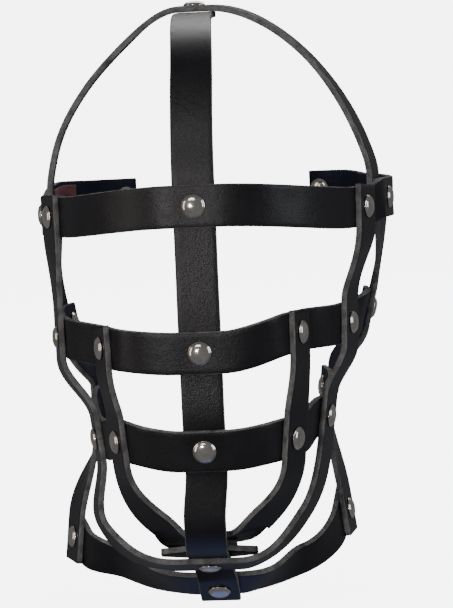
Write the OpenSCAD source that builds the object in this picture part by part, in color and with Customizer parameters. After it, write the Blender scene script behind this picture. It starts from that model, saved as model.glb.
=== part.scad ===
// Riveted leather strap cage for a head: a brow band that wraps round to the back, a crown arch, a
// centre strap, nose and mouth bands, cheek and jaw straps under the chin, and a collar, joined by
// double-cap rivets.
// X runs to the wearer's left, Y to the back, Z up. The origin is the middle of the head space at
// brow height. Straps cross at flat spots with one rivet each, and curve in between.
// Left and right in the names are as seen from the front.

/* [Leather] */
// Width of every strap
strap_w = 19; // [17:0.5:20]
// Thickness of the leather
strap_t = 3; // [2.5:0.25:3.25]
// Length of strap past a rivet at a cut end
end_len = 10; // [9:0.5:12]

/* [Rivets] */
// Radius of a rivet cap
cap_r = 5.3; // [4:0.1:6]
// Height of a cap's dome
cap_h = 2.2; // [1.5:0.1:3]
// Radius of a rivet post
post_r = 1.5; // [1:0.1:2]
// Radial clearance of a post in a punched hole
hole_gap = 0.08; // [0.04:0.01:0.1]

/* [Head space] */
// Distance from the origin to the front of the brow band
brow_front = 95; // [90:1:100]
// Height of the crown above the brow band
crown_rise = 91; // [85:1:98]
// Distance from the origin back to the ends of the brow band
rear_reach = 78; // [70:1:85]
// Drop from the brow band to the nose band
nose_drop = 64; // [60:1:68]
// Drop from the brow band to the mouth band
mouth_drop = 108; // [104:1:112]
// Drop from the brow band to the strap crossing under the chin
chin_drop = 165; // [162:1:168]
// Drop from the brow band to the rivet on the collar's front
collar_drop = 182; // [180:1:186]

/* [Hidden] */
$fn = 48;

leather = "#2b2a2b";
nickel = "#b9b4ac";
patch_red = "#7a2630";
left = 0;
right = 1;
curve_steps = 9;     // samples along each free stretch of strap
pad = 10;            // half length of the flat spot at a rivet
chin_flat = 14;      // the same for the jaw strap under the chin
crown_flat = 7;      // the same for the crown strap, which arches clear of the centre strap's edges
crown_under = -0.6;  // layer of the centre strap at the crown
crown_cut = 8;       // length of crown strap past its rivets
rear_cut = 6;        // length of brow band past its end rivets
side_cut = 9;        // length of side strap above its top rivet
collar_cut = 12;     // length of side strap below the collar's rivet
pad_reach = 22.5;    // half length of the chin pad
pad_tip = 3;         // half width of the chin pad at its tips
socket_depth = 1.3;  // depth of the socket in a back cap
socket_gap = 0.02;   // radial clearance of a post in its socket
rim = 0.5;           // height of a cap's straight rim
patch_w = 15;        // height of the red patch
patch_t = 0.8;       // thickness of the red patch

// Layers under the brow band at the temples, [left, right], in strap thicknesses
crown_layer = [-0.5, -1.5];
side_layer = [-1.5, -0.5];

// ---- Crossings: [x, y, z, azimuth, tilt]. Azimuth and tilt aim the outward face. ----
crown = [-3, -4, crown_rise, 0, 86];
brow_mid = [0, -brow_front, 1, 0, 0];
nose_mid = [0, -brow_front, -nose_drop, 0, -2];
mouth_mid = [0, -92, -mouth_drop, 0, -10];
chin = [-3, -56, -chin_drop, 0, -70];
tab = [-1, -30, -collar_drop, 0, -52];

brow_jaw = [[-67.5, -40, -3, -65, 0], [71, -38, -4, 70, 0]];
temple = [[-77.5, -8, -3, -84, 0], [83.5, -8, -1, 80, 0]];
nose_jaw = [[-68, -34, -60, -76, 0], [63, -34, -58, 74, 0]];
nose_cheek = [[-43, -76, -62, -68, 0], [41, -76, -58, 71, 0]];
nose_side = [[-71, 8, -57, -94, -10], [72, 8, -54, 93, -14]];
mouth_jaw = [[-52, -36, -108, -76, -6], [51, -36, -101, 76, -6]];
mouth_cheek = [[-38, -74, -105, -66, -4], [37, -74, -106, 64, -4]];
mouth_side = [[-57, 12, -97, -98, 0], [52, 12, -93, 98, -6]];
collar_side = [[-74.5, 20, -165, -65, 6], [58.5, 30, -157, 80, 8]];
rear_end = [[-49, rear_reach - 6, 2, -150, 0], [52, rear_reach - 3, 2, 152, 0]];

// ---- Directions ----
function unit(v) = v / norm(v);
function facing(s) = [sin(s[3]) * cos(s[4]), -cos(s[3]) * cos(s[4]), sin(s[4])];
function spot(s) = [s[0], s[1], s[2]];
function rightward(n) = unit(cross([0, 0, 1], n));
function heading(n, a) = cos(a) * rightward(n) + sin(a) * cross(n, rightward(n));

// A station is [point, outward face, running direction, flat half length]. The layer counts strap
// thicknesses outwards from the crossing's point to the strap's middle. Angle 0 runs to the
// right as seen from outside, and 90 runs up.
function station(s, layer, a, flat = pad) =
    [spot(s) + layer * strap_t * facing(s), facing(s), heading(facing(s), a), flat];

// ---- Curves ----
function hermite(a, da, b, db, u) =
    (2 * u * u * u - 3 * u * u + 1) * a + (u * u * u - 2 * u * u + u) * da
    + (3 * u * u - 2 * u * u * u) * b + (u * u * u - u * u) * db;
function hermite_slope(a, da, b, db, u) =
    (6 * u * u - 6 * u) * a + (3 * u * u - 4 * u + 1) * da
    + (6 * u - 6 * u * u) * b + (3 * u * u - 2 * u) * db;

// Samples [point, outward face, direction] from one station's flat spot to the next one's.
function stretch_between(s, e) =
    let (a = s[0] + s[3] * s[2], b = e[0] - e[3] * e[2], reach = norm(b - a))
    [for (i = [0 : curve_steps])
        let (u = i / curve_steps,
            turn = u * u * (3 - 2 * u),
            along = unit(hermite_slope(a, reach * s[2], b, reach * e[2], u)),
            out = (1 - turn) * s[1] + turn * e[1])
        [hermite(a, reach * s[2], b, reach * e[2], u), unit(out - (out * along) * along), along]];

// Samples of a whole strap, with its two cut ends. The first sample of each later stretch is
// dropped where the flat spot has no length.
function strap_samples(stations, first_end = end_len, last_end = end_len) =
    let (first = stations[0], last = stations[len(stations) - 1])
    concat(
        [[first[0] - first_end * first[2], first[1], first[2]]],
        [for (i = [0 : len(stations) - 2])
            let (run = stretch_between(stations[i], stations[i + 1]))
            for (k = [(stations[i][3] == 0 ? 1 : 0) : curve_steps]) run[k]],
        [[last[0] + last_end * last[2], last[1], last[2]]]);

// A flat section swept along samples.
module sweep(samples, w = strap_w, t = strap_t) {
    count = len(samples);
    points = [for (s = samples)
        let (side = cross(s[2], s[1]))
        for (corner = [[-1, -1], [1, -1], [1, 1], [-1, 1]])
            s[0] + corner[0] * w / 2 * side + corner[1] * t / 2 * s[1]];
    walls = [for (i = [0 : count - 2], k = [0 : 3])
        let (a = 4 * i + k, b = 4 * i + (k + 1) % 4)
        each [[a, b, b + 4], [a, b + 4, a + 4]]];
    last = 4 * count - 4;
    ends = [[0, 2, 1], [0, 3, 2], [last, last + 1, last + 2], [last, last + 2, last + 3]];
    polyhedron(points, concat(walls, ends));
}

// Places a child at a crossing with its Z axis along the outward face.
module at_crossing(s) {
    translate(spot(s)) rotate([0, 90 - s[4], s[3] - 90]) children();
}

// A strap with a punched hole at each crossing.
module strap(stations, sites, first_end = end_len, last_end = end_len) {
    color(leather) difference() {
        sweep(strap_samples(stations, first_end, last_end));
        for (s = sites) at_crossing(s)
            cylinder(r = post_r + hole_gap, h = 10 * strap_t, center = true);
    }
}

// ---- Rivets ----
// A domed cap that sits on the plane z = 0.
module dome() {
    rotate_extrude() polygon(concat([[0, 0], [cap_r, 0]],
        [for (a = [0 : 15 : 90]) [cap_r * cos(a), rim + (cap_h - rim) * sin(a)]]));
}

// The outer cap with its post, through layers from outer to inner.
module rivet(s, outer, inner) {
    reach = (outer - inner) * strap_t + socket_depth - 0.1;
    color(nickel) at_crossing(s) translate([0, 0, outer * strap_t]) union() {
        dome();
        translate([0, 0, -reach]) cylinder(r = post_r, h = reach + rim);
    }
}

// The inner cap, whose socket takes the end of the post.
module rivet_back(s, outer, inner) {
    color(nickel) at_crossing(s) translate([0, 0, inner * strap_t]) mirror([0, 0, 1]) difference() {
        dome();
        translate([0, 0, -1]) cylinder(r = post_r + socket_gap, h = socket_depth + 1);
    }
}

// Rivets as [crossing, outermost layer's face, innermost layer's face].
center_set = [[crown, 1, crown_under - 0.5], [brow_mid, 1, -1], [nose_mid, 1, -1], [mouth_mid, 1, -1],
    [chin, 1, -4], [tab, 1, -1]];
jaw_set = [for (i = [left, right])
    each [[brow_jaw[i], 2, 0], [nose_jaw[i], 1.5, -0.5], [mouth_jaw[i], 1.5, -0.5]]];
cheek_set = [for (i = [left, right])
    each [[nose_cheek[i], 1.5, -0.5], [mouth_cheek[i], 1.5, -0.5]]];
side_set = [for (i = [left, right])
    each [[nose_side[i], 1.5, -0.5], [mouth_side[i], 1.5, -0.5], [collar_side[i], 1, -1]]];
temple_set = [for (i = [left, right]) [temple[i], 1, -2]];
end_set = [for (i = [left, right]) [rear_end[i], 0.5, -0.5]];

module rivets(set) {
    for (r = set) rivet(r[0], r[1], r[2]);
}

module rivet_backs(set) {
    for (r = set) rivet_back(r[0], r[1], r[2]);
}

// ---- Straps ----
module crown_strap() {
    strap([
        station(temple[left], crown_layer[left], 90),
        station([-73.5, -8, 23, -84, 13], 0, 90, 0),
        station([-38, -6, 76, -84, 48], 0, 86, 0),
        station(crown, 0.5, 0, crown_flat),
        station([46, -6, 72, 84, 46], 0, -86, 0),
        station([76.5, -8, 22, 80, 19], 0, -90, 0),
        station(temple[right], crown_layer[right], -90)],
        [crown, temple[left], temple[right]], crown_cut, crown_cut);
}

module center_strap() {
    strap([
        station(crown, crown_under, -90),
        station([0, -78, 58, 0, 32], 0, -90, 0),
        station(brow_mid, -0.5, -90),
        station(nose_mid, -0.5, -90),
        station(mouth_mid, -0.5, -90),
        station([-2, -86, -142, 0, -12], 0, -90, 0),
        station(chin, -0.5, -90),
        station(tab, 0.5, -90)],
        [crown, brow_mid, nose_mid, mouth_mid, chin, tab]);
}

function brow_stations() = [
    station(rear_end[left], 0, 0),
    station([-76, 40, 2.5, -116, 0], 0, 0, 0),
    station(temple[left], 0.5, 0),
    station(brow_jaw[left], 0.5, 0),
    station(brow_mid, 0.5, 0),
    station(brow_jaw[right], 0.5, 0),
    station(temple[right], 0.5, 0),
    station([78, 40, 0, 116, 0], 0, 0, 0),
    station(rear_end[right], 0, 0)];

module brow_band() {
    strap(brow_stations(),
        [rear_end[left], temple[left], brow_jaw[left], brow_mid,
            brow_jaw[right], temple[right], rear_end[right]],
        rear_cut, rear_cut);
}

module jaw_strap() {
    strap([
        station(brow_jaw[left], 1.5, -88),
        station(nose_jaw[left], 1, -84),
        station(mouth_jaw[left], 1, -84),
        station([-54, -42, -148, -70, -24], 0, -78, 0),
        station(chin, 0.5, 0, chin_flat),
        station([42, -42, -145, 72, -30], 0, 66, 0),
        station(mouth_jaw[right], 1, 82),
        station(nose_jaw[right], 1, 84),
        station(brow_jaw[right], 1.5, 86)],
        [brow_jaw[left], nose_jaw[left], mouth_jaw[left], chin,
            mouth_jaw[right], nose_jaw[right], brow_jaw[right]]);
}

module cheek_strap_left() {
    strap([
        station(nose_cheek[left], 1, -84),
        station(mouth_cheek[left], 1, -86),
        station([-24, -72, -144, -40, -34], 0, -44, 0),
        station(chin, -2.5, -28)],
        [nose_cheek[left], mouth_cheek[left], chin]);
}

module cheek_strap_right() {
    strap([
        station(nose_cheek[right], 1, -92),
        station(mouth_cheek[right], 1, -94),
        station([23, -72, -143, 50, -32], 0, -134, 0),
        station(chin, -3.5, -152)],
        [nose_cheek[right], mouth_cheek[right], chin]);
}

module nose_band() {
    strap([
        station(nose_side[left], 0, 0),
        station(nose_jaw[left], 0, 0),
        station(nose_cheek[left], 0, 0),
        station(nose_mid, 0.5, 0),
        station(nose_cheek[right], 0, 0),
        station(nose_jaw[right], 0, 0),
        station(nose_side[right], 0, 0)],
        [nose_side[left], nose_jaw[left], nose_cheek[left], nose_mid,
            nose_cheek[right], nose_jaw[right], nose_side[right]]);
}

module mouth_band() {
    strap([
        station(mouth_side[left], 0, 0),
        station(mouth_jaw[left], 0, 0),
        station(mouth_cheek[left], 0, 0),
        station(mouth_mid, 0.5, 0),
        station(mouth_cheek[right], 0, 0),
        station(mouth_jaw[right], 0, 0),
        station(mouth_side[right], 0, 0)],
        [mouth_side[left], mouth_jaw[left], mouth_cheek[left], mouth_mid,
            mouth_cheek[right], mouth_jaw[right], mouth_side[right]]);
}

module side_strap_left() {
    strap([
        station(temple[left], side_layer[left], -90),
        station(nose_side[left], 1, -90),
        station(mouth_side[left], 1, -94),
        station(collar_side[left], 0.5, -92)],
        [temple[left], nose_side[left], mouth_side[left], collar_side[left]], side_cut, collar_cut);
}

module side_strap_right() {
    strap([
        station(temple[right], side_layer[right], -90),
        station(nose_side[right], 1, -90),
        station(mouth_side[right], 1, -84),
        station(collar_side[right], 0.5, -88)],
        [temple[right], nose_side[right], mouth_side[right], collar_side[right]], side_cut, collar_cut);
}

module collar() {
    strap([
        station(collar_side[left], -0.5, -22),
        station([-50, 0, -175, -44, -24], 0, -12, 0),
        station(tab, -0.5, 0),
        station([38, -4, -175, 36, -30], 0, 16, 0),
        station(collar_side[right], -0.5, 24)],
        [collar_side[left], tab, collar_side[right]]);
}

module chin_pad() {
    half = strap_w / 2;
    outline = [[half, -half], [half, half], [pad_tip, pad_reach], [-pad_tip, pad_reach],
        [-half, half], [-half, -half], [-pad_tip, -pad_reach], [pad_tip, -pad_reach]];
    color(leather) at_crossing(chin) translate([0, 0, -1.5 * strap_t]) difference() {
        linear_extrude(height = strap_t, center = true) polygon(outline);
        cylinder(r = post_r + hole_gap, h = 2 * strap_t, center = true);
    }
}

// A thin patch on the inner face of the brow band's left rear part, over six sample spaces.
module size_patch() {
    run = strap_samples(brow_stations(), rear_cut, rear_cut);
    inward = (strap_t + patch_t) / 2;
    color(patch_red) sweep([for (k = [8 : 14]) [run[k][0] - inward * run[k][1], run[k][1], run[k][2]]],
        patch_w, patch_t);
}

module center_rivets() rivets(center_set);
module center_rivet_backs() rivet_backs(center_set);
module jaw_rivets() rivets(jaw_set);
module jaw_rivet_backs() rivet_backs(jaw_set);
module cheek_rivets() rivets(cheek_set);
module cheek_rivet_backs() rivet_backs(cheek_set);
module side_rivets() rivets(side_set);
module side_rivet_backs() rivet_backs(side_set);
module temple_rivets() rivets(temple_set);
module temple_rivet_backs() rivet_backs(temple_set);
module end_rivets() rivets(end_set);
module end_rivet_backs() rivet_backs(end_set);

crown_strap();
center_strap();
brow_band();
jaw_strap();
cheek_strap_left();
cheek_strap_right();
nose_band();
mouth_band();
side_strap_left();
side_strap_right();
collar();
chin_pad();
size_patch();
center_rivets();
center_rivet_backs();
temple_rivets();
temple_rivet_backs();
jaw_rivets();
jaw_rivet_backs();
cheek_rivets();
cheek_rivet_backs();
side_rivets();
side_rivet_backs();
end_rivets();
end_rivet_backs();
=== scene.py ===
"""Looks for the riveted leather strap cage: swept leather straps with raw cut edges, turned nickel
caps, a woven patch, a pale floor and a soft studio. Lengths are millimetres until a mesh is made."""
import math

import bmesh
import bpy
from mathutils import Matrix, Vector, noise


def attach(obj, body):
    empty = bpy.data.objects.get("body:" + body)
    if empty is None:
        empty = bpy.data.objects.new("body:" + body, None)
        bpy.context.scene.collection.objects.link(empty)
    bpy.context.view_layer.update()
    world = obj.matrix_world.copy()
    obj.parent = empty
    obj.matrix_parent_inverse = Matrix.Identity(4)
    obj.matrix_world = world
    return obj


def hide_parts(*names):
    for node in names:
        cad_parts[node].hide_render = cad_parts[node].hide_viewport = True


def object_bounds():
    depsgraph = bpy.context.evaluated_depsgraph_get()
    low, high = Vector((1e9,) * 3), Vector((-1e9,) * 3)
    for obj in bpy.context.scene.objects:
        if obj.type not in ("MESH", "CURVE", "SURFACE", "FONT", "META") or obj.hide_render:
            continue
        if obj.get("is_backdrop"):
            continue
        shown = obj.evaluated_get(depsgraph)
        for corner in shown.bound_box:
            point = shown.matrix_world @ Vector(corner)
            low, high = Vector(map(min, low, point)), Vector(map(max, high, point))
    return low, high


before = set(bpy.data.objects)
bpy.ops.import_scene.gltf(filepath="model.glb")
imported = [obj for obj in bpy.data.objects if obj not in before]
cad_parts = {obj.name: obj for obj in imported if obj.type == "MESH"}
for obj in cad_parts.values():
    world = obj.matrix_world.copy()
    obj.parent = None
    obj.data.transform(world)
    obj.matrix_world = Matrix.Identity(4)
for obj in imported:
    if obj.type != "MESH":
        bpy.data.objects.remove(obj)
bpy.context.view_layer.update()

MM = 0.001
UP = Vector((0, 0, 1))

# Leather
STRAP_W = 19
STRAP_T = 3
END = 10            # strap past a rivet at a cut end
PAD = 10            # half length of the flat spot at a rivet
CHIN_FLAT = 14      # the same for the jaw strap under the chin
CROWN_FLAT = 7      # the same for the crown strap, which arches clear of the centre strap's edges
CROWN_UNDER = -0.6  # layer of the centre strap at the crown
CROWN_CUT = 8
REAR_CUT = 6
SIDE_CUT = 9
COLLAR_CUT = 12
PAD_REACH = 22.5    # half length of the chin pad
PAD_TIP = 3         # half width of the chin pad at its tips
CORNER_R = 0.75     # rounding of the long edges
CORNER_STEPS = 3
FACE_STEPS = 10     # facets across a strap
RING_STEP = 2.4     # spacing of the rings along a strap
DIMPLE = 0.3        # how far a rivet presses the leather in
DIMPLE_R = 5.5
RIPPLE = 0.16       # unevenness of hand-cut leather
RIPPLE_RATE = 0.06  # ripples per millimetre, roughly
LIFT_SHARE = 0.5    # how much of the unevenness goes across the thickness
EDGE_SHARE = 0.62   # how much of the rounded corner counts as cut edge
UV_PER_MM = 0.01

# Rivets
CAP_R = 5.3
CAP_H = 2.2
RIM_H = 0.6
CAP_SINK = 0.2      # how deep a cap sits in the leather
CAP_SIDES = 56
CAP_ROLL = 0.35     # radius of the rolled rim
CAP_ROLL_STEPS = 6
CAP_DOME_STEPS = 14

# Patch
PATCH_W = 15
PATCH_T = 0.8
PATCH_EDGE = 0.4    # corner radius in patch thicknesses
PATCH_STEPS = 14
PATCH_SPAN = (7 / 9, 13 / 9)  # in stretches of the brow band from its left rear end

# Crossings: x, y, z, azimuth and tilt of the outward face, the same as the CAD part's.
LEFT, RIGHT = 0, 1
CROWN = (-3, -4, 91, 0, 86)
BROW_MID = (0, -95, 1, 0, 0)
NOSE_MID = (0, -95, -64, 0, -2)
MOUTH_MID = (0, -92, -108, 0, -10)
CHIN = (-3, -56, -165, 0, -70)
TAB = (-1, -30, -182, 0, -52)
BROW_JAW = ((-67.5, -40, -3, -65, 0), (71, -38, -4, 70, 0))
TEMPLE = ((-77.5, -8, -3, -84, 0), (83.5, -8, -1, 80, 0))
NOSE_JAW = ((-68, -34, -60, -76, 0), (63, -34, -58, 74, 0))
NOSE_CHEEK = ((-43, -76, -62, -68, 0), (41, -76, -58, 71, 0))
NOSE_SIDE = ((-71, 8, -57, -94, -10), (72, 8, -54, 93, -14))
MOUTH_JAW = ((-52, -36, -108, -76, -6), (51, -36, -101, 76, -6))
MOUTH_CHEEK = ((-38, -74, -105, -66, -4), (37, -74, -106, 64, -4))
MOUTH_SIDE = ((-57, 12, -97, -98, 0), (52, 12, -93, 98, -6))
COLLAR_SIDE = ((-74.5, 20, -165, -65, 6), (58.5, 30, -157, 80, 8))
REAR_END = ((-49, 72, 2, -150, 0), (52, 75, 2, 152, 0))

# Layers under the brow band at the temples, left and right, in strap thicknesses
CROWN_LAYER = (-0.5, -1.5)
SIDE_LAYER = (-1.5, -0.5)

# Camera, as metres and degrees
CAMERA_TARGET = Vector((0.006, 0, -0.05))
CAMERA_DISTANCE = 1.095
CAMERA_YAW, CAMERA_PITCH, CAMERA_ROLL = 4, 4.3, 2.5
CAMERA_LENS = 133.8
LIGHT_AIM = Vector((0, 0, -0.05))


# ---- Stations and curves ----
def spot(site):
    return Vector(site[:3])


def facing(site):
    azimuth, tilt = math.radians(site[3]), math.radians(site[4])
    return Vector((math.sin(azimuth) * math.cos(tilt), -math.cos(azimuth) * math.cos(tilt), math.sin(tilt)))


def heading(out, angle):
    """A direction in the plane of a face: 0 runs to the right as seen from outside, 90 runs up."""
    right = UP.cross(out).normalized()
    turn = math.radians(angle)
    return math.cos(turn) * right + math.sin(turn) * out.cross(right)


def station(site, layer, angle, flat=PAD):
    out = facing(site)
    return spot(site) + layer * STRAP_T * out, out, heading(out, angle), flat


def between(start, end, u):
    """The sample [point, outward face, direction] at u, 0 to 1, from one flat spot to the next."""
    a = start[0] + start[3] * start[2]
    b = end[0] - end[3] * end[2]
    reach = (b - a).length
    pull_a, pull_b = reach * start[2], reach * end[2]
    point = ((2 * u**3 - 3 * u**2 + 1) * a + (u**3 - 2 * u**2 + u) * pull_a
             + (3 * u**2 - 2 * u**3) * b + (u**3 - u**2) * pull_b)
    along = ((6 * u**2 - 6 * u) * a + (3 * u**2 - 4 * u + 1) * pull_a
             + (6 * u - 6 * u**2) * b + (3 * u**2 - 2 * u) * pull_b).normalized()
    turn = u * u * (3 - 2 * u)
    out = (1 - turn) * start[1] + turn * end[1]
    return point, (out - out.dot(along) * along).normalized(), along


def flat_run(centre, low, high):
    """Samples over a flat stretch from low to high along its direction."""
    count = max(1, math.ceil((high - low) / RING_STEP))
    steps = [low + (high - low) * i / count for i in range(count + 1)]
    return [(centre[0] + step * centre[2], centre[1], centre[2]) for step in steps]


def curved_run(start, end):
    """Samples strictly between two flat spots."""
    reach = (end[0] - start[0]).length
    count = max(6, math.ceil(reach / RING_STEP))
    return [between(start, end, i / count) for i in range(1, count)]


def strap_run(stations, first_end, last_end):
    """All samples of a strap, from one cut end to the other."""
    samples = []
    for i, here in enumerate(stations):
        low = -first_end if i == 0 else -here[3]
        high = last_end if i == len(stations) - 1 else here[3]
        samples += flat_run(here, low, high) if high > low else [here[:3]]
        if i < len(stations) - 1:
            samples += curved_run(here, stations[i + 1])
    return samples


# ---- Meshes ----
def section(width, thick, radius):
    """Points round a flat section with rounded corners, as (across, outward)."""
    half_w, half_t = width / 2 - radius, thick / 2 - radius
    points = []
    for quarter, (side, level) in enumerate([(1, 1), (-1, 1), (-1, -1), (1, -1)]):
        for step in range(CORNER_STEPS + 1):
            angle = math.radians(90 * quarter + 90 * step / CORNER_STEPS)
            points.append((side * half_w + radius * math.cos(angle),
                           level * half_t + radius * math.sin(angle)))
        if quarter in (0, 2):
            for step in range(1, FACE_STEPS):
                across = side * half_w * (1 - 2 * step / FACE_STEPS)
                points.append((across, level * thick / 2))
    return points


def uneven(point, seed):
    """A small repeatable offset that keeps an edge from looking machined."""
    return RIPPLE * noise.noise(point * RIPPLE_RATE + Vector((seed, 0, 0)))


def pressed(point, sites):
    """How much the leather is pinched at a point by the rivets through it."""
    depth = 0
    for site in sites:
        offset = point - spot(site)
        offset -= offset.dot(facing(site)) * facing(site)
        depth += math.exp(-(offset.length / DIMPLE_R) ** 2)
    return DIMPLE * min(1, depth)


def swept(samples, width, thick, radius, sites=(), seed=0):
    """A closed bmesh swept along samples. Material 0 is the outer face, 1 the inner, 2 the cut edges."""
    mesh = bmesh.new()
    uv = mesh.loops.layers.uv.new("UVMap")
    outline = section(width, thick, radius)
    rings, travelled = [], []
    distance = 0
    for i, (point, out, along) in enumerate(samples):
        distance += (point - samples[i - 1][0]).length if i else 0
        side = along.cross(out)
        wide = 1 + uneven(point, seed) / width
        lift = uneven(point, seed + 7) * LIFT_SHARE
        ring = []
        for across, level in outline:
            at = point + across * wide * side
            pinch = pressed(at, sites) * 2 * level / thick
            ring.append(mesh.verts.new((at + (level - pinch + lift) * out) * MM))
        rings.append(ring)
        travelled.append(distance)
    count = len(outline)
    girth = [0]
    for k in range(count):
        a, b = outline[k], outline[(k + 1) % count]
        girth.append(girth[-1] + math.hypot(b[0] - a[0], b[1] - a[1]))
    for i in range(len(rings) - 1):
        for k in range(count):
            nxt = (k + 1) % count
            face = mesh.faces.new((rings[i][k], rings[i][nxt], rings[i + 1][nxt], rings[i + 1][k]))
            level = (outline[k][1] + outline[nxt][1]) / 2
            across = abs(outline[k][0] + outline[nxt][0]) / 2
            on_face = across < width / 2 - radius * EDGE_SHARE
            face.material_index = (0 if level > 0 else 1) if on_face else 2
            face.smooth = True
            corners = [(i, k), (i, k + 1), (i + 1, k + 1), (i + 1, k)]
            for loop, (at_ring, at_point) in zip(face.loops, corners):
                loop[uv].uv = (travelled[at_ring] * UV_PER_MM, girth[at_point] * UV_PER_MM)
    for ring, flip in ((rings[0], True), (rings[-1], False)):
        cap_end(mesh, ring, radius, flip)
    bmesh.ops.recalc_face_normals(mesh, faces=mesh.faces)
    return mesh


def cap_end(mesh, ring, radius, flip):
    """Closes a cut end with a slightly rounded rim, pushed out past the ring."""
    centre = sum((v.co for v in ring), Vector()) / len(ring)
    inner = []
    for v in ring:
        inward = centre - v.co
        inner.append(mesh.verts.new(v.co + inward.normalized() * min(radius * MM, inward.length / 2)))
    edge_a, edge_b = ring[1].co - ring[0].co, ring[len(ring) // 2].co - ring[0].co
    normal = edge_b.cross(edge_a).normalized()
    push = normal * radius * 0.5 * MM * (1 if flip else -1)
    for v in inner:
        v.co += push
    for k in range(len(ring)):
        nxt = (k + 1) % len(ring)
        mesh.faces.new((ring[k], ring[nxt], inner[nxt], inner[k])).material_index = 2
    mesh.faces.new(inner).material_index = 2


def place(mesh, name, node, materials):
    """Turns a bmesh into a piece that stands for a CAD node."""
    data = bpy.data.meshes.new(name)
    mesh.to_mesh(data)
    mesh.free()
    piece = bpy.data.objects.new(name, data)
    bpy.context.scene.collection.objects.link(piece)
    for material in materials:
        data.materials.append(material)
    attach(piece, "root")
    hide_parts(node)


# ---- Materials ----
def new_material(name):
    material = bpy.data.materials.new(name)
    material.use_nodes = True
    nodes = material.node_tree.nodes
    return material, nodes, material.node_tree.links, nodes["Principled BSDF"]


def texture(nodes, links, kind, coordinates, **values):
    node = nodes.new(kind)
    for key, value in values.items():
        node.inputs[key.replace("_", " ")].default_value = value
    links.new(coordinates, node.inputs["Vector"])
    return node


def ramp(nodes, links, source, low, high, start=0.0, end=1.0):
    node = nodes.new("ShaderNodeValToRGB")
    node.color_ramp.elements[0].position = start
    node.color_ramp.elements[1].position = end
    node.color_ramp.elements[0].color = low
    node.color_ramp.elements[1].color = high
    links.new(source, node.inputs["Fac"])
    return node.outputs["Color"]


def ranged(nodes, links, source, low, high):
    node = nodes.new("ShaderNodeMapRange")
    node.inputs["To Min"].default_value = low
    node.inputs["To Max"].default_value = high
    links.new(source, node.inputs["Value"])
    return node.outputs["Result"]


def bump(nodes, links, layers):
    """Stacked bumps from (height, strength, distance in metres) layers."""
    normal = None
    for height, strength, distance in layers:
        node = nodes.new("ShaderNodeBump")
        node.inputs["Strength"].default_value = strength
        node.inputs["Distance"].default_value = distance
        links.new(height, node.inputs["Height"])
        if normal:
            links.new(normal, node.inputs["Normal"])
        normal = node.outputs["Normal"]
    return normal


def leather_face(name, dark, light, rough, gloss):
    """Finished side of black leather: fine pores, soft creases and an uneven satin."""
    material, nodes, links, shader = new_material(name)
    place_of = nodes.new("ShaderNodeTexCoord").outputs["Object"]
    pores = texture(nodes, links, "ShaderNodeTexVoronoi", place_of, Scale=1500.0)
    grain = texture(nodes, links, "ShaderNodeTexNoise", place_of, Scale=900.0, Detail=6.0, Roughness=0.6)
    crease = texture(nodes, links, "ShaderNodeTexNoise", place_of, Scale=160.0, Detail=4.0, Distortion=1.2)
    wear = texture(nodes, links, "ShaderNodeTexNoise", place_of, Scale=38.0, Detail=5.0, Roughness=0.65)
    links.new(ramp(nodes, links, wear.outputs["Fac"], dark, light, 0.3, 0.75), shader.inputs["Base Color"])
    satin = ranged(nodes, links, wear.outputs["Fac"], rough - 0.09, rough + 0.13)
    links.new(satin, shader.inputs["Roughness"])
    links.new(bump(nodes, links, [
        (crease.outputs["Fac"], 0.25, 0.0004),
        (grain.outputs["Fac"], 0.5, 0.0002),
        (pores.outputs["Distance"], 0.35, 0.0001)]), shader.inputs["Normal"])
    shader.inputs["Specular IOR Level"].default_value = gloss
    return material


def leather_edge():
    """Raw cut edge: gray compressed fibres in thin streaks."""
    material, nodes, links, shader = new_material("leather_edge")
    unwrapped = nodes.new("ShaderNodeTexCoord").outputs["UV"]
    stretch = nodes.new("ShaderNodeMapping")
    stretch.inputs["Scale"].default_value = (1, 5, 1)
    links.new(unwrapped, stretch.inputs["Vector"])
    fibres = texture(nodes, links, "ShaderNodeTexNoise", stretch.outputs["Vector"],
                     Scale=60.0, Detail=8.0, Roughness=0.7)
    blotch = texture(nodes, links, "ShaderNodeTexNoise", unwrapped, Scale=14.0, Detail=4.0)
    mix = nodes.new("ShaderNodeMath")
    mix.operation = "MULTIPLY"
    links.new(fibres.outputs["Fac"], mix.inputs[0])
    links.new(blotch.outputs["Fac"], mix.inputs[1])
    color = ramp(nodes, links, mix.outputs["Value"],
                 (0.05, 0.05, 0.051, 1), (0.27, 0.267, 0.265, 1), 0.12, 0.42)
    links.new(color, shader.inputs["Base Color"])
    links.new(bump(nodes, links, [(fibres.outputs["Fac"], 0.7, 0.0003)]), shader.inputs["Normal"])
    shader.inputs["Roughness"].default_value = 0.82
    shader.inputs["Specular IOR Level"].default_value = 0.3
    return material


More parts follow.
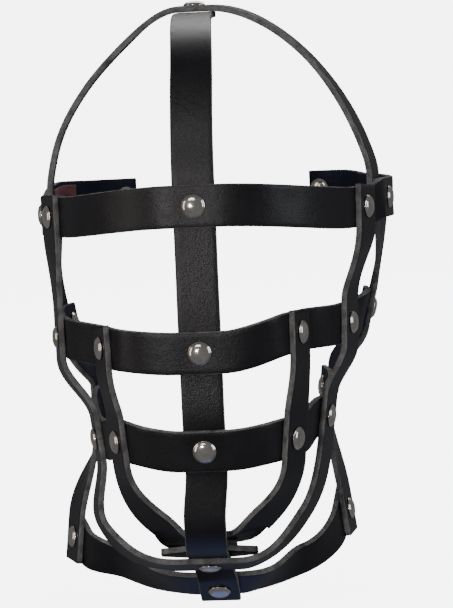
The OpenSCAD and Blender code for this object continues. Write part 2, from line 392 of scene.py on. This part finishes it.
def nickel():
    """Polished nickel plate with handling smears and hairline scratches."""
    material, nodes, links, shader = new_material("nickel_cap")
    place_of = nodes.new("ShaderNodeTexCoord").outputs["Object"]
    smear = texture(nodes, links, "ShaderNodeTexNoise", place_of, Scale=220.0, Detail=5.0, Distortion=0.6)
    stretch = nodes.new("ShaderNodeMapping")
    stretch.inputs["Scale"].default_value = (1, 12, 3)
    stretch.inputs["Rotation"].default_value = (0.3, 0.6, 0.9)
    links.new(place_of, stretch.inputs["Vector"])
    hairs = texture(nodes, links, "ShaderNodeTexNoise", stretch.outputs["Vector"], Scale=700.0, Detail=3.0)
    color = ramp(nodes, links, smear.outputs["Fac"], (0.58, 0.53, 0.47, 1), (0.82, 0.77, 0.7, 1), 0.3, 0.7)
    links.new(color, shader.inputs["Base Color"])
    links.new(ranged(nodes, links, smear.outputs["Fac"], 0.06, 0.2), shader.inputs["Roughness"])
    links.new(bump(nodes, links, [(hairs.outputs["Fac"], 0.12, 0.00005)]), shader.inputs["Normal"])
    shader.inputs["Metallic"].default_value = 1.0
    return material


def woven_red():
    """Dark red woven tape."""
    material, nodes, links, shader = new_material("woven_red")
    unwrapped = nodes.new("ShaderNodeTexCoord").outputs["UV"]
    threads = []
    for axis in ("X", "Y"):
        wave = texture(nodes, links, "ShaderNodeTexWave", unwrapped, Scale=48.0, Distortion=0.6)
        wave.bands_direction = axis
        threads.append(wave.outputs["Fac"])
    weave = nodes.new("ShaderNodeMath")
    weave.operation = "MULTIPLY"
    links.new(threads[0], weave.inputs[0])
    links.new(threads[1], weave.inputs[1])
    color = ramp(nodes, links, weave.outputs["Value"], (0.1, 0.012, 0.02, 1), (0.34, 0.05, 0.07, 1))
    links.new(color, shader.inputs["Base Color"])
    links.new(bump(nodes, links, [(weave.outputs["Value"], 0.6, 0.0002)]), shader.inputs["Normal"])
    shader.inputs["Roughness"].default_value = 0.9
    shader.inputs["Sheen Weight"].default_value = 0.25
    return material


# ---- Straps ----
def strap(node, stations, sites, first_end=END, last_end=END):
    seed = 3 * len(node) + len(stations)
    mesh = swept(strap_run(stations, first_end, last_end), STRAP_W, STRAP_T, CORNER_R, sites, seed)
    place(mesh, node + ".leather", node, [FACE, FLESH_PAINTED_SKY_BLUE, EDGE])


def crown_strap():
    strap("crown_strap", [
        station(TEMPLE[LEFT], CROWN_LAYER[LEFT], 90),
        station((-73.5, -8, 23, -84, 13), 0, 90, 0),
        station((-38, -6, 76, -84, 48), 0, 86, 0),
        station(CROWN, 0.5, 0, CROWN_FLAT),
        station((46, -6, 72, 84, 46), 0, -86, 0),
        station((76.5, -8, 22, 80, 19), 0, -90, 0),
        station(TEMPLE[RIGHT], CROWN_LAYER[RIGHT], -90)],
        [CROWN, *TEMPLE], CROWN_CUT, CROWN_CUT)


def center_strap():
    strap("center_strap", [
        station(CROWN, CROWN_UNDER, -90),
        station((0, -78, 58, 0, 32), 0, -90, 0),
        station(BROW_MID, -0.5, -90),
        station(NOSE_MID, -0.5, -90),
        station(MOUTH_MID, -0.5, -90),
        station((-2, -86, -142, 0, -12), 0, -90, 0),
        station(CHIN, -0.5, -90),
        station(TAB, 0.5, -90)],
        [CROWN, BROW_MID, NOSE_MID, MOUTH_MID, CHIN, TAB])


def brow_stations():
    return [
        station(REAR_END[LEFT], 0, 0),
        station((-76, 40, 2.5, -116, 0), 0, 0, 0),
        station(TEMPLE[LEFT], 0.5, 0),
        station(BROW_JAW[LEFT], 0.5, 0),
        station(BROW_MID, 0.5, 0),
        station(BROW_JAW[RIGHT], 0.5, 0),
        station(TEMPLE[RIGHT], 0.5, 0),
        station((78, 40, 0, 116, 0), 0, 0, 0),
        station(REAR_END[RIGHT], 0, 0)]


def brow_band():
    strap("brow_band", brow_stations(), [*REAR_END, *TEMPLE, *BROW_JAW, BROW_MID], REAR_CUT, REAR_CUT)


def face_band(node, side, jaw, cheek, middle):
    strap(node, [
        station(side[LEFT], 0, 0),
        station(jaw[LEFT], 0, 0),
        station(cheek[LEFT], 0, 0),
        station(middle, 0.5, 0),
        station(cheek[RIGHT], 0, 0),
        station(jaw[RIGHT], 0, 0),
        station(side[RIGHT], 0, 0)],
        [*side, *jaw, *cheek, middle])


def jaw_strap():
    strap("jaw_strap", [
        station(BROW_JAW[LEFT], 1.5, -88),
        station(NOSE_JAW[LEFT], 1, -84),
        station(MOUTH_JAW[LEFT], 1, -84),
        station((-54, -42, -148, -70, -24), 0, -78, 0),
        station(CHIN, 0.5, 0, CHIN_FLAT),
        station((42, -42, -145, 72, -30), 0, 66, 0),
        station(MOUTH_JAW[RIGHT], 1, 82),
        station(NOSE_JAW[RIGHT], 1, 84),
        station(BROW_JAW[RIGHT], 1.5, 86)],
        [*BROW_JAW, *NOSE_JAW, *MOUTH_JAW, CHIN])


def cheek_straps():
    strap("cheek_strap_left", [
        station(NOSE_CHEEK[LEFT], 1, -84),
        station(MOUTH_CHEEK[LEFT], 1, -86),
        station((-24, -72, -144, -40, -34), 0, -44, 0),
        station(CHIN, -2.5, -28)],
        [NOSE_CHEEK[LEFT], MOUTH_CHEEK[LEFT], CHIN])
    strap("cheek_strap_right", [
        station(NOSE_CHEEK[RIGHT], 1, -92),
        station(MOUTH_CHEEK[RIGHT], 1, -94),
        station((23, -72, -143, 50, -32), 0, -134, 0),
        station(CHIN, -3.5, -152)],
        [NOSE_CHEEK[RIGHT], MOUTH_CHEEK[RIGHT], CHIN])


def side_straps():
    angles = ((-94, -92), (-84, -88))
    for i, name in ((LEFT, "left"), (RIGHT, "right")):
        strap("side_strap_" + name, [
            station(TEMPLE[i], SIDE_LAYER[i], -90),
            station(NOSE_SIDE[i], 1, -90),
            station(MOUTH_SIDE[i], 1, angles[i][0]),
            station(COLLAR_SIDE[i], 0.5, angles[i][1])],
            [TEMPLE[i], NOSE_SIDE[i], MOUTH_SIDE[i], COLLAR_SIDE[i]], SIDE_CUT, COLLAR_CUT)


def collar():
    strap("collar", [
        station(COLLAR_SIDE[LEFT], -0.5, -22),
        station((-50, 0, -175, -44, -24), 0, -12, 0),
        station(TAB, -0.5, 0),
        station((38, -4, -175, 36, -30), 0, 16, 0),
        station(COLLAR_SIDE[RIGHT], -0.5, 24)],
        [COLLAR_SIDE[LEFT], TAB, COLLAR_SIDE[RIGHT]])


def chin_pad():
    """A flat pad that narrows towards both tips."""
    centre = station(CHIN, -1.5, 0)
    mesh = swept(flat_run(centre, -PAD_REACH, PAD_REACH), STRAP_W, STRAP_T, CORNER_R, [CHIN], 5)
    along, over = centre[2], heading(centre[1], 90)
    wide = STRAP_W / 2
    for v in mesh.verts:
        offset = v.co / MM - centre[0]
        past = max(0, abs(offset.dot(along)) - wide) / (PAD_REACH - wide)
        v.co -= over * offset.dot(over) * min(1, past) * (1 - PAD_TIP / wide) * MM
    place(mesh, "chin_pad.leather", "chin_pad", [FACE, FLESH_PAINTED_SKY_BLUE, EDGE])


def size_patch():
    stations = brow_stations()
    inward = (STRAP_T + PATCH_T) / 2
    samples = []
    for i in range(PATCH_STEPS + 1):
        u = PATCH_SPAN[0] + (PATCH_SPAN[1] - PATCH_SPAN[0]) * i / PATCH_STEPS
        first = min(int(u), 1)
        point, out, along = between(stations[first], stations[first + 1], u - first)
        samples.append((point - inward * out, out, along))
    mesh = swept(samples, PATCH_W, PATCH_T, PATCH_T * PATCH_EDGE, (), 11)
    place(mesh, "size_patch.fabric", "size_patch", [RED, RED, RED])


# ---- Rivets ----
def cap_profile():
    """Half section of a cap from the axis under it, round the rolled rim, to the top: (radius, height)."""
    roll_at, roll_height = CAP_R - CAP_ROLL, RIM_H / 2
    points = [(0, -CAP_SINK), (CAP_R - 0.5, -CAP_SINK)]
    for step in range(CAP_ROLL_STEPS + 1):
        angle = math.radians(-90 + 150 * step / CAP_ROLL_STEPS)
        points.append((roll_at + CAP_ROLL * math.cos(angle), roll_height + CAP_ROLL * math.sin(angle)))
    shoulder = CAP_R - 0.45
    for step in range(1, CAP_DOME_STEPS):
        angle = math.radians(90 * step / CAP_DOME_STEPS)
        points.append((shoulder * math.cos(angle), RIM_H + (CAP_H - RIM_H) * math.sin(angle)))
    return points + [(0, CAP_H)]


def add_cap(mesh, site, layer, side):
    """One turned cap on the face at a layer. side is 1 for an outer cap and -1 for an inner one."""
    out = facing(site)
    base = spot(site) + layer * STRAP_T * out
    across, over = heading(out, 0), heading(out, 90)
    rings = []
    for radius, height in cap_profile():
        if radius == 0:
            rings.append([mesh.verts.new((base + side * height * out) * MM)])
            continue
        ring = []
        for k in range(CAP_SIDES):
            angle = 2 * math.pi * k / CAP_SIDES
            at = base + radius * (math.cos(angle) * across + math.sin(angle) * over) + side * height * out
            ring.append(mesh.verts.new(at * MM))
        rings.append(ring)
    for low, high in zip(rings, rings[1:]):
        for k in range(CAP_SIDES):
            nxt = (k + 1) % CAP_SIDES
            corners = [low[k % len(low)], low[nxt % len(low)], high[nxt % len(high)], high[k % len(high)]]
            face = mesh.faces.new(list(dict.fromkeys(corners)))
            face.smooth = True


def rivet_pair(outer_node, inner_node, rivets):
    """The outer and inner caps of a group of rivets: (site, outer layer, inner layer)."""
    for node, side in ((outer_node, 1), (inner_node, -1)):
        mesh = bmesh.new()
        for site, outer, inner in rivets:
            add_cap(mesh, site, outer if side == 1 else inner, side)
        bmesh.ops.recalc_face_normals(mesh, faces=mesh.faces)
        place(mesh, node + ".nickel", node, [NICKEL])


def all_rivets():
    rivet_pair("center_rivets", "center_rivet_backs",
               [(CROWN, 1, CROWN_UNDER - 0.5), (BROW_MID, 1, -1), (NOSE_MID, 1, -1), (MOUTH_MID, 1, -1),
                (CHIN, 1, -4), (TAB, 1, -1)])
    rivet_pair("jaw_rivets", "jaw_rivet_backs",
               [(site, 2, 0) for site in BROW_JAW]
               + [(site, 1.5, -0.5) for site in NOSE_JAW + MOUTH_JAW])
    rivet_pair("cheek_rivets", "cheek_rivet_backs",
               [(site, 1.5, -0.5) for site in NOSE_CHEEK + MOUTH_CHEEK])
    rivet_pair("side_rivets", "side_rivet_backs",
               [(site, 1.5, -0.5) for site in NOSE_SIDE + MOUTH_SIDE]
               + [(site, 1, -1) for site in COLLAR_SIDE])
    rivet_pair("temple_rivets", "temple_rivet_backs", [(site, 1, -2) for site in TEMPLE])
    rivet_pair("end_rivets", "end_rivet_backs", [(site, 0.5, -0.5) for site in REAR_END])


# ---- Studio ----
def studio_floor():
    """A pale round floor that curves up into a wall on every side."""
    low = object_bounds()[0][2]
    reach, cove, height, sides, cove_steps = 6.0, 2.0, 9.0, 64, 10
    profile = [(reach - cove, low)]
    for step in range(1, cove_steps + 1):
        angle = math.radians(90 * step / cove_steps)
        profile.append((reach - cove + cove * math.sin(angle), low + cove * (1 - math.cos(angle))))
    profile.append((reach, low + height))
    mesh = bmesh.new()
    rings = [[mesh.verts.new((radius * math.cos(2 * math.pi * k / sides),
                              radius * math.sin(2 * math.pi * k / sides), z)) for k in range(sides)]
             for radius, z in profile]
    mesh.faces.new(rings[0])
    for a, b in zip(rings, rings[1:]):
        for k in range(sides):
            mesh.faces.new((a[k], a[(k + 1) % sides], b[(k + 1) % sides], b[k])).smooth = True
    data = bpy.data.meshes.new("studio_floor")
    mesh.to_mesh(data)
    mesh.free()
    floor = bpy.data.objects.new("studio_floor", data)
    bpy.context.scene.collection.objects.link(floor)
    material, _, _, shader = new_material("studio_white")
    shader.inputs["Base Color"].default_value = (0.93, 0.93, 0.93, 1)
    shader.inputs["Roughness"].default_value = 0.9
    shader.inputs["Emission Color"].default_value = (0.98, 0.99, 1.0, 1)
    shader.inputs["Emission Strength"].default_value = 6
    data.materials.append(material)
    floor.visible_glossy = False
    floor.visible_diffuse = False
    floor.visible_shadow = False
    floor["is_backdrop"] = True


def area_light(name, place_at, size, power, color):
    light = bpy.data.lights.new(name, "AREA")
    light.shape = "RECTANGLE"
    light.size, light.size_y = size
    light.energy = power
    light.color = color
    lamp = bpy.data.objects.new(name, light)
    lamp.location = place_at
    aim = LIGHT_AIM - Vector(place_at)
    lamp.rotation_euler = aim.to_track_quat("-Z", "Y").to_euler()
    bpy.context.scene.collection.objects.link(lamp)


def studio_lights():
    area_light("sun", (-0.4, -1.7, 0.06), (0.1, 0.1), 7, (1.0, 0.96, 0.92))
    area_light("softbox", (-0.3, -1.5, 1.0), (0.8, 0.5), 5, (1.0, 0.96, 0.92))
    area_light("warm_side", (-1.6, -0.9, 0.2), (0.8, 1.4), 7, (1.0, 0.9, 0.82))
    area_light("cool_side", (1.7, -0.7, 0.4), (0.6, 1.2), 8, (0.9, 0.95, 1.0))
    area_light("blue_below", (0.0, 0.2, -1.0), (0.8, 0.8), 0.6, (0.08, 0.22, 1.0))
    area_light("back", (0.2, 1.8, 1.8), (2.0, 1.0), 25, (1.0, 1.0, 1.0))
    world = bpy.data.worlds.new("studio")
    bpy.context.scene.world = world
    world.use_nodes = True
    background = world.node_tree.nodes["Background"]
    background.inputs["Color"].default_value = (0.93, 0.95, 1.0, 1)
    background.inputs["Strength"].default_value = 0.17


def camera():
    yaw, pitch, roll = (math.radians(a) for a in (CAMERA_YAW, CAMERA_PITCH, CAMERA_ROLL))
    forward = Vector((-math.sin(yaw) * math.cos(pitch), math.cos(yaw) * math.cos(pitch), -math.sin(pitch)))
    level = Vector((math.cos(yaw), math.sin(yaw), 0))
    right = math.cos(roll) * level - math.sin(roll) * level.cross(forward)
    above = right.cross(forward)
    data = bpy.data.cameras.new("camera")
    data.lens = CAMERA_LENS
    data.clip_end = 50
    eye = bpy.data.objects.new("camera", data)
    turn = Matrix((right, above, -forward)).transposed().to_4x4()
    eye.matrix_world = Matrix.Translation(CAMERA_TARGET - forward * CAMERA_DISTANCE) @ turn
    bpy.context.scene.collection.objects.link(eye)
    bpy.context.scene.camera = eye


FACE = leather_face("leather_face", (0.005, 0.0045, 0.006, 1), (0.013, 0.0115, 0.0145, 1), 0.37, 0.35)
# Inner flesh side: rougher, less glossy leather. Its bluish base colour is a painted reflection of blue sky
# on the shaded inner faces.
FLESH_PAINTED_SKY_BLUE = leather_face("leather_flesh_painted_sky_blue", (0.004, 0.006, 0.016, 1), (0.01, 0.014, 0.03, 1), 0.62, 0.2)
EDGE = leather_edge()
NICKEL = nickel()
RED = woven_red()

crown_strap()
center_strap()
brow_band()
jaw_strap()
cheek_straps()
face_band("nose_band", NOSE_SIDE, NOSE_JAW, NOSE_CHEEK, NOSE_MID)
face_band("mouth_band", MOUTH_SIDE, MOUTH_JAW, MOUTH_CHEEK, MOUTH_MID)
side_straps()
collar()
chin_pad()
size_patch()
all_rivets()
studio_floor()
studio_lights()
camera()
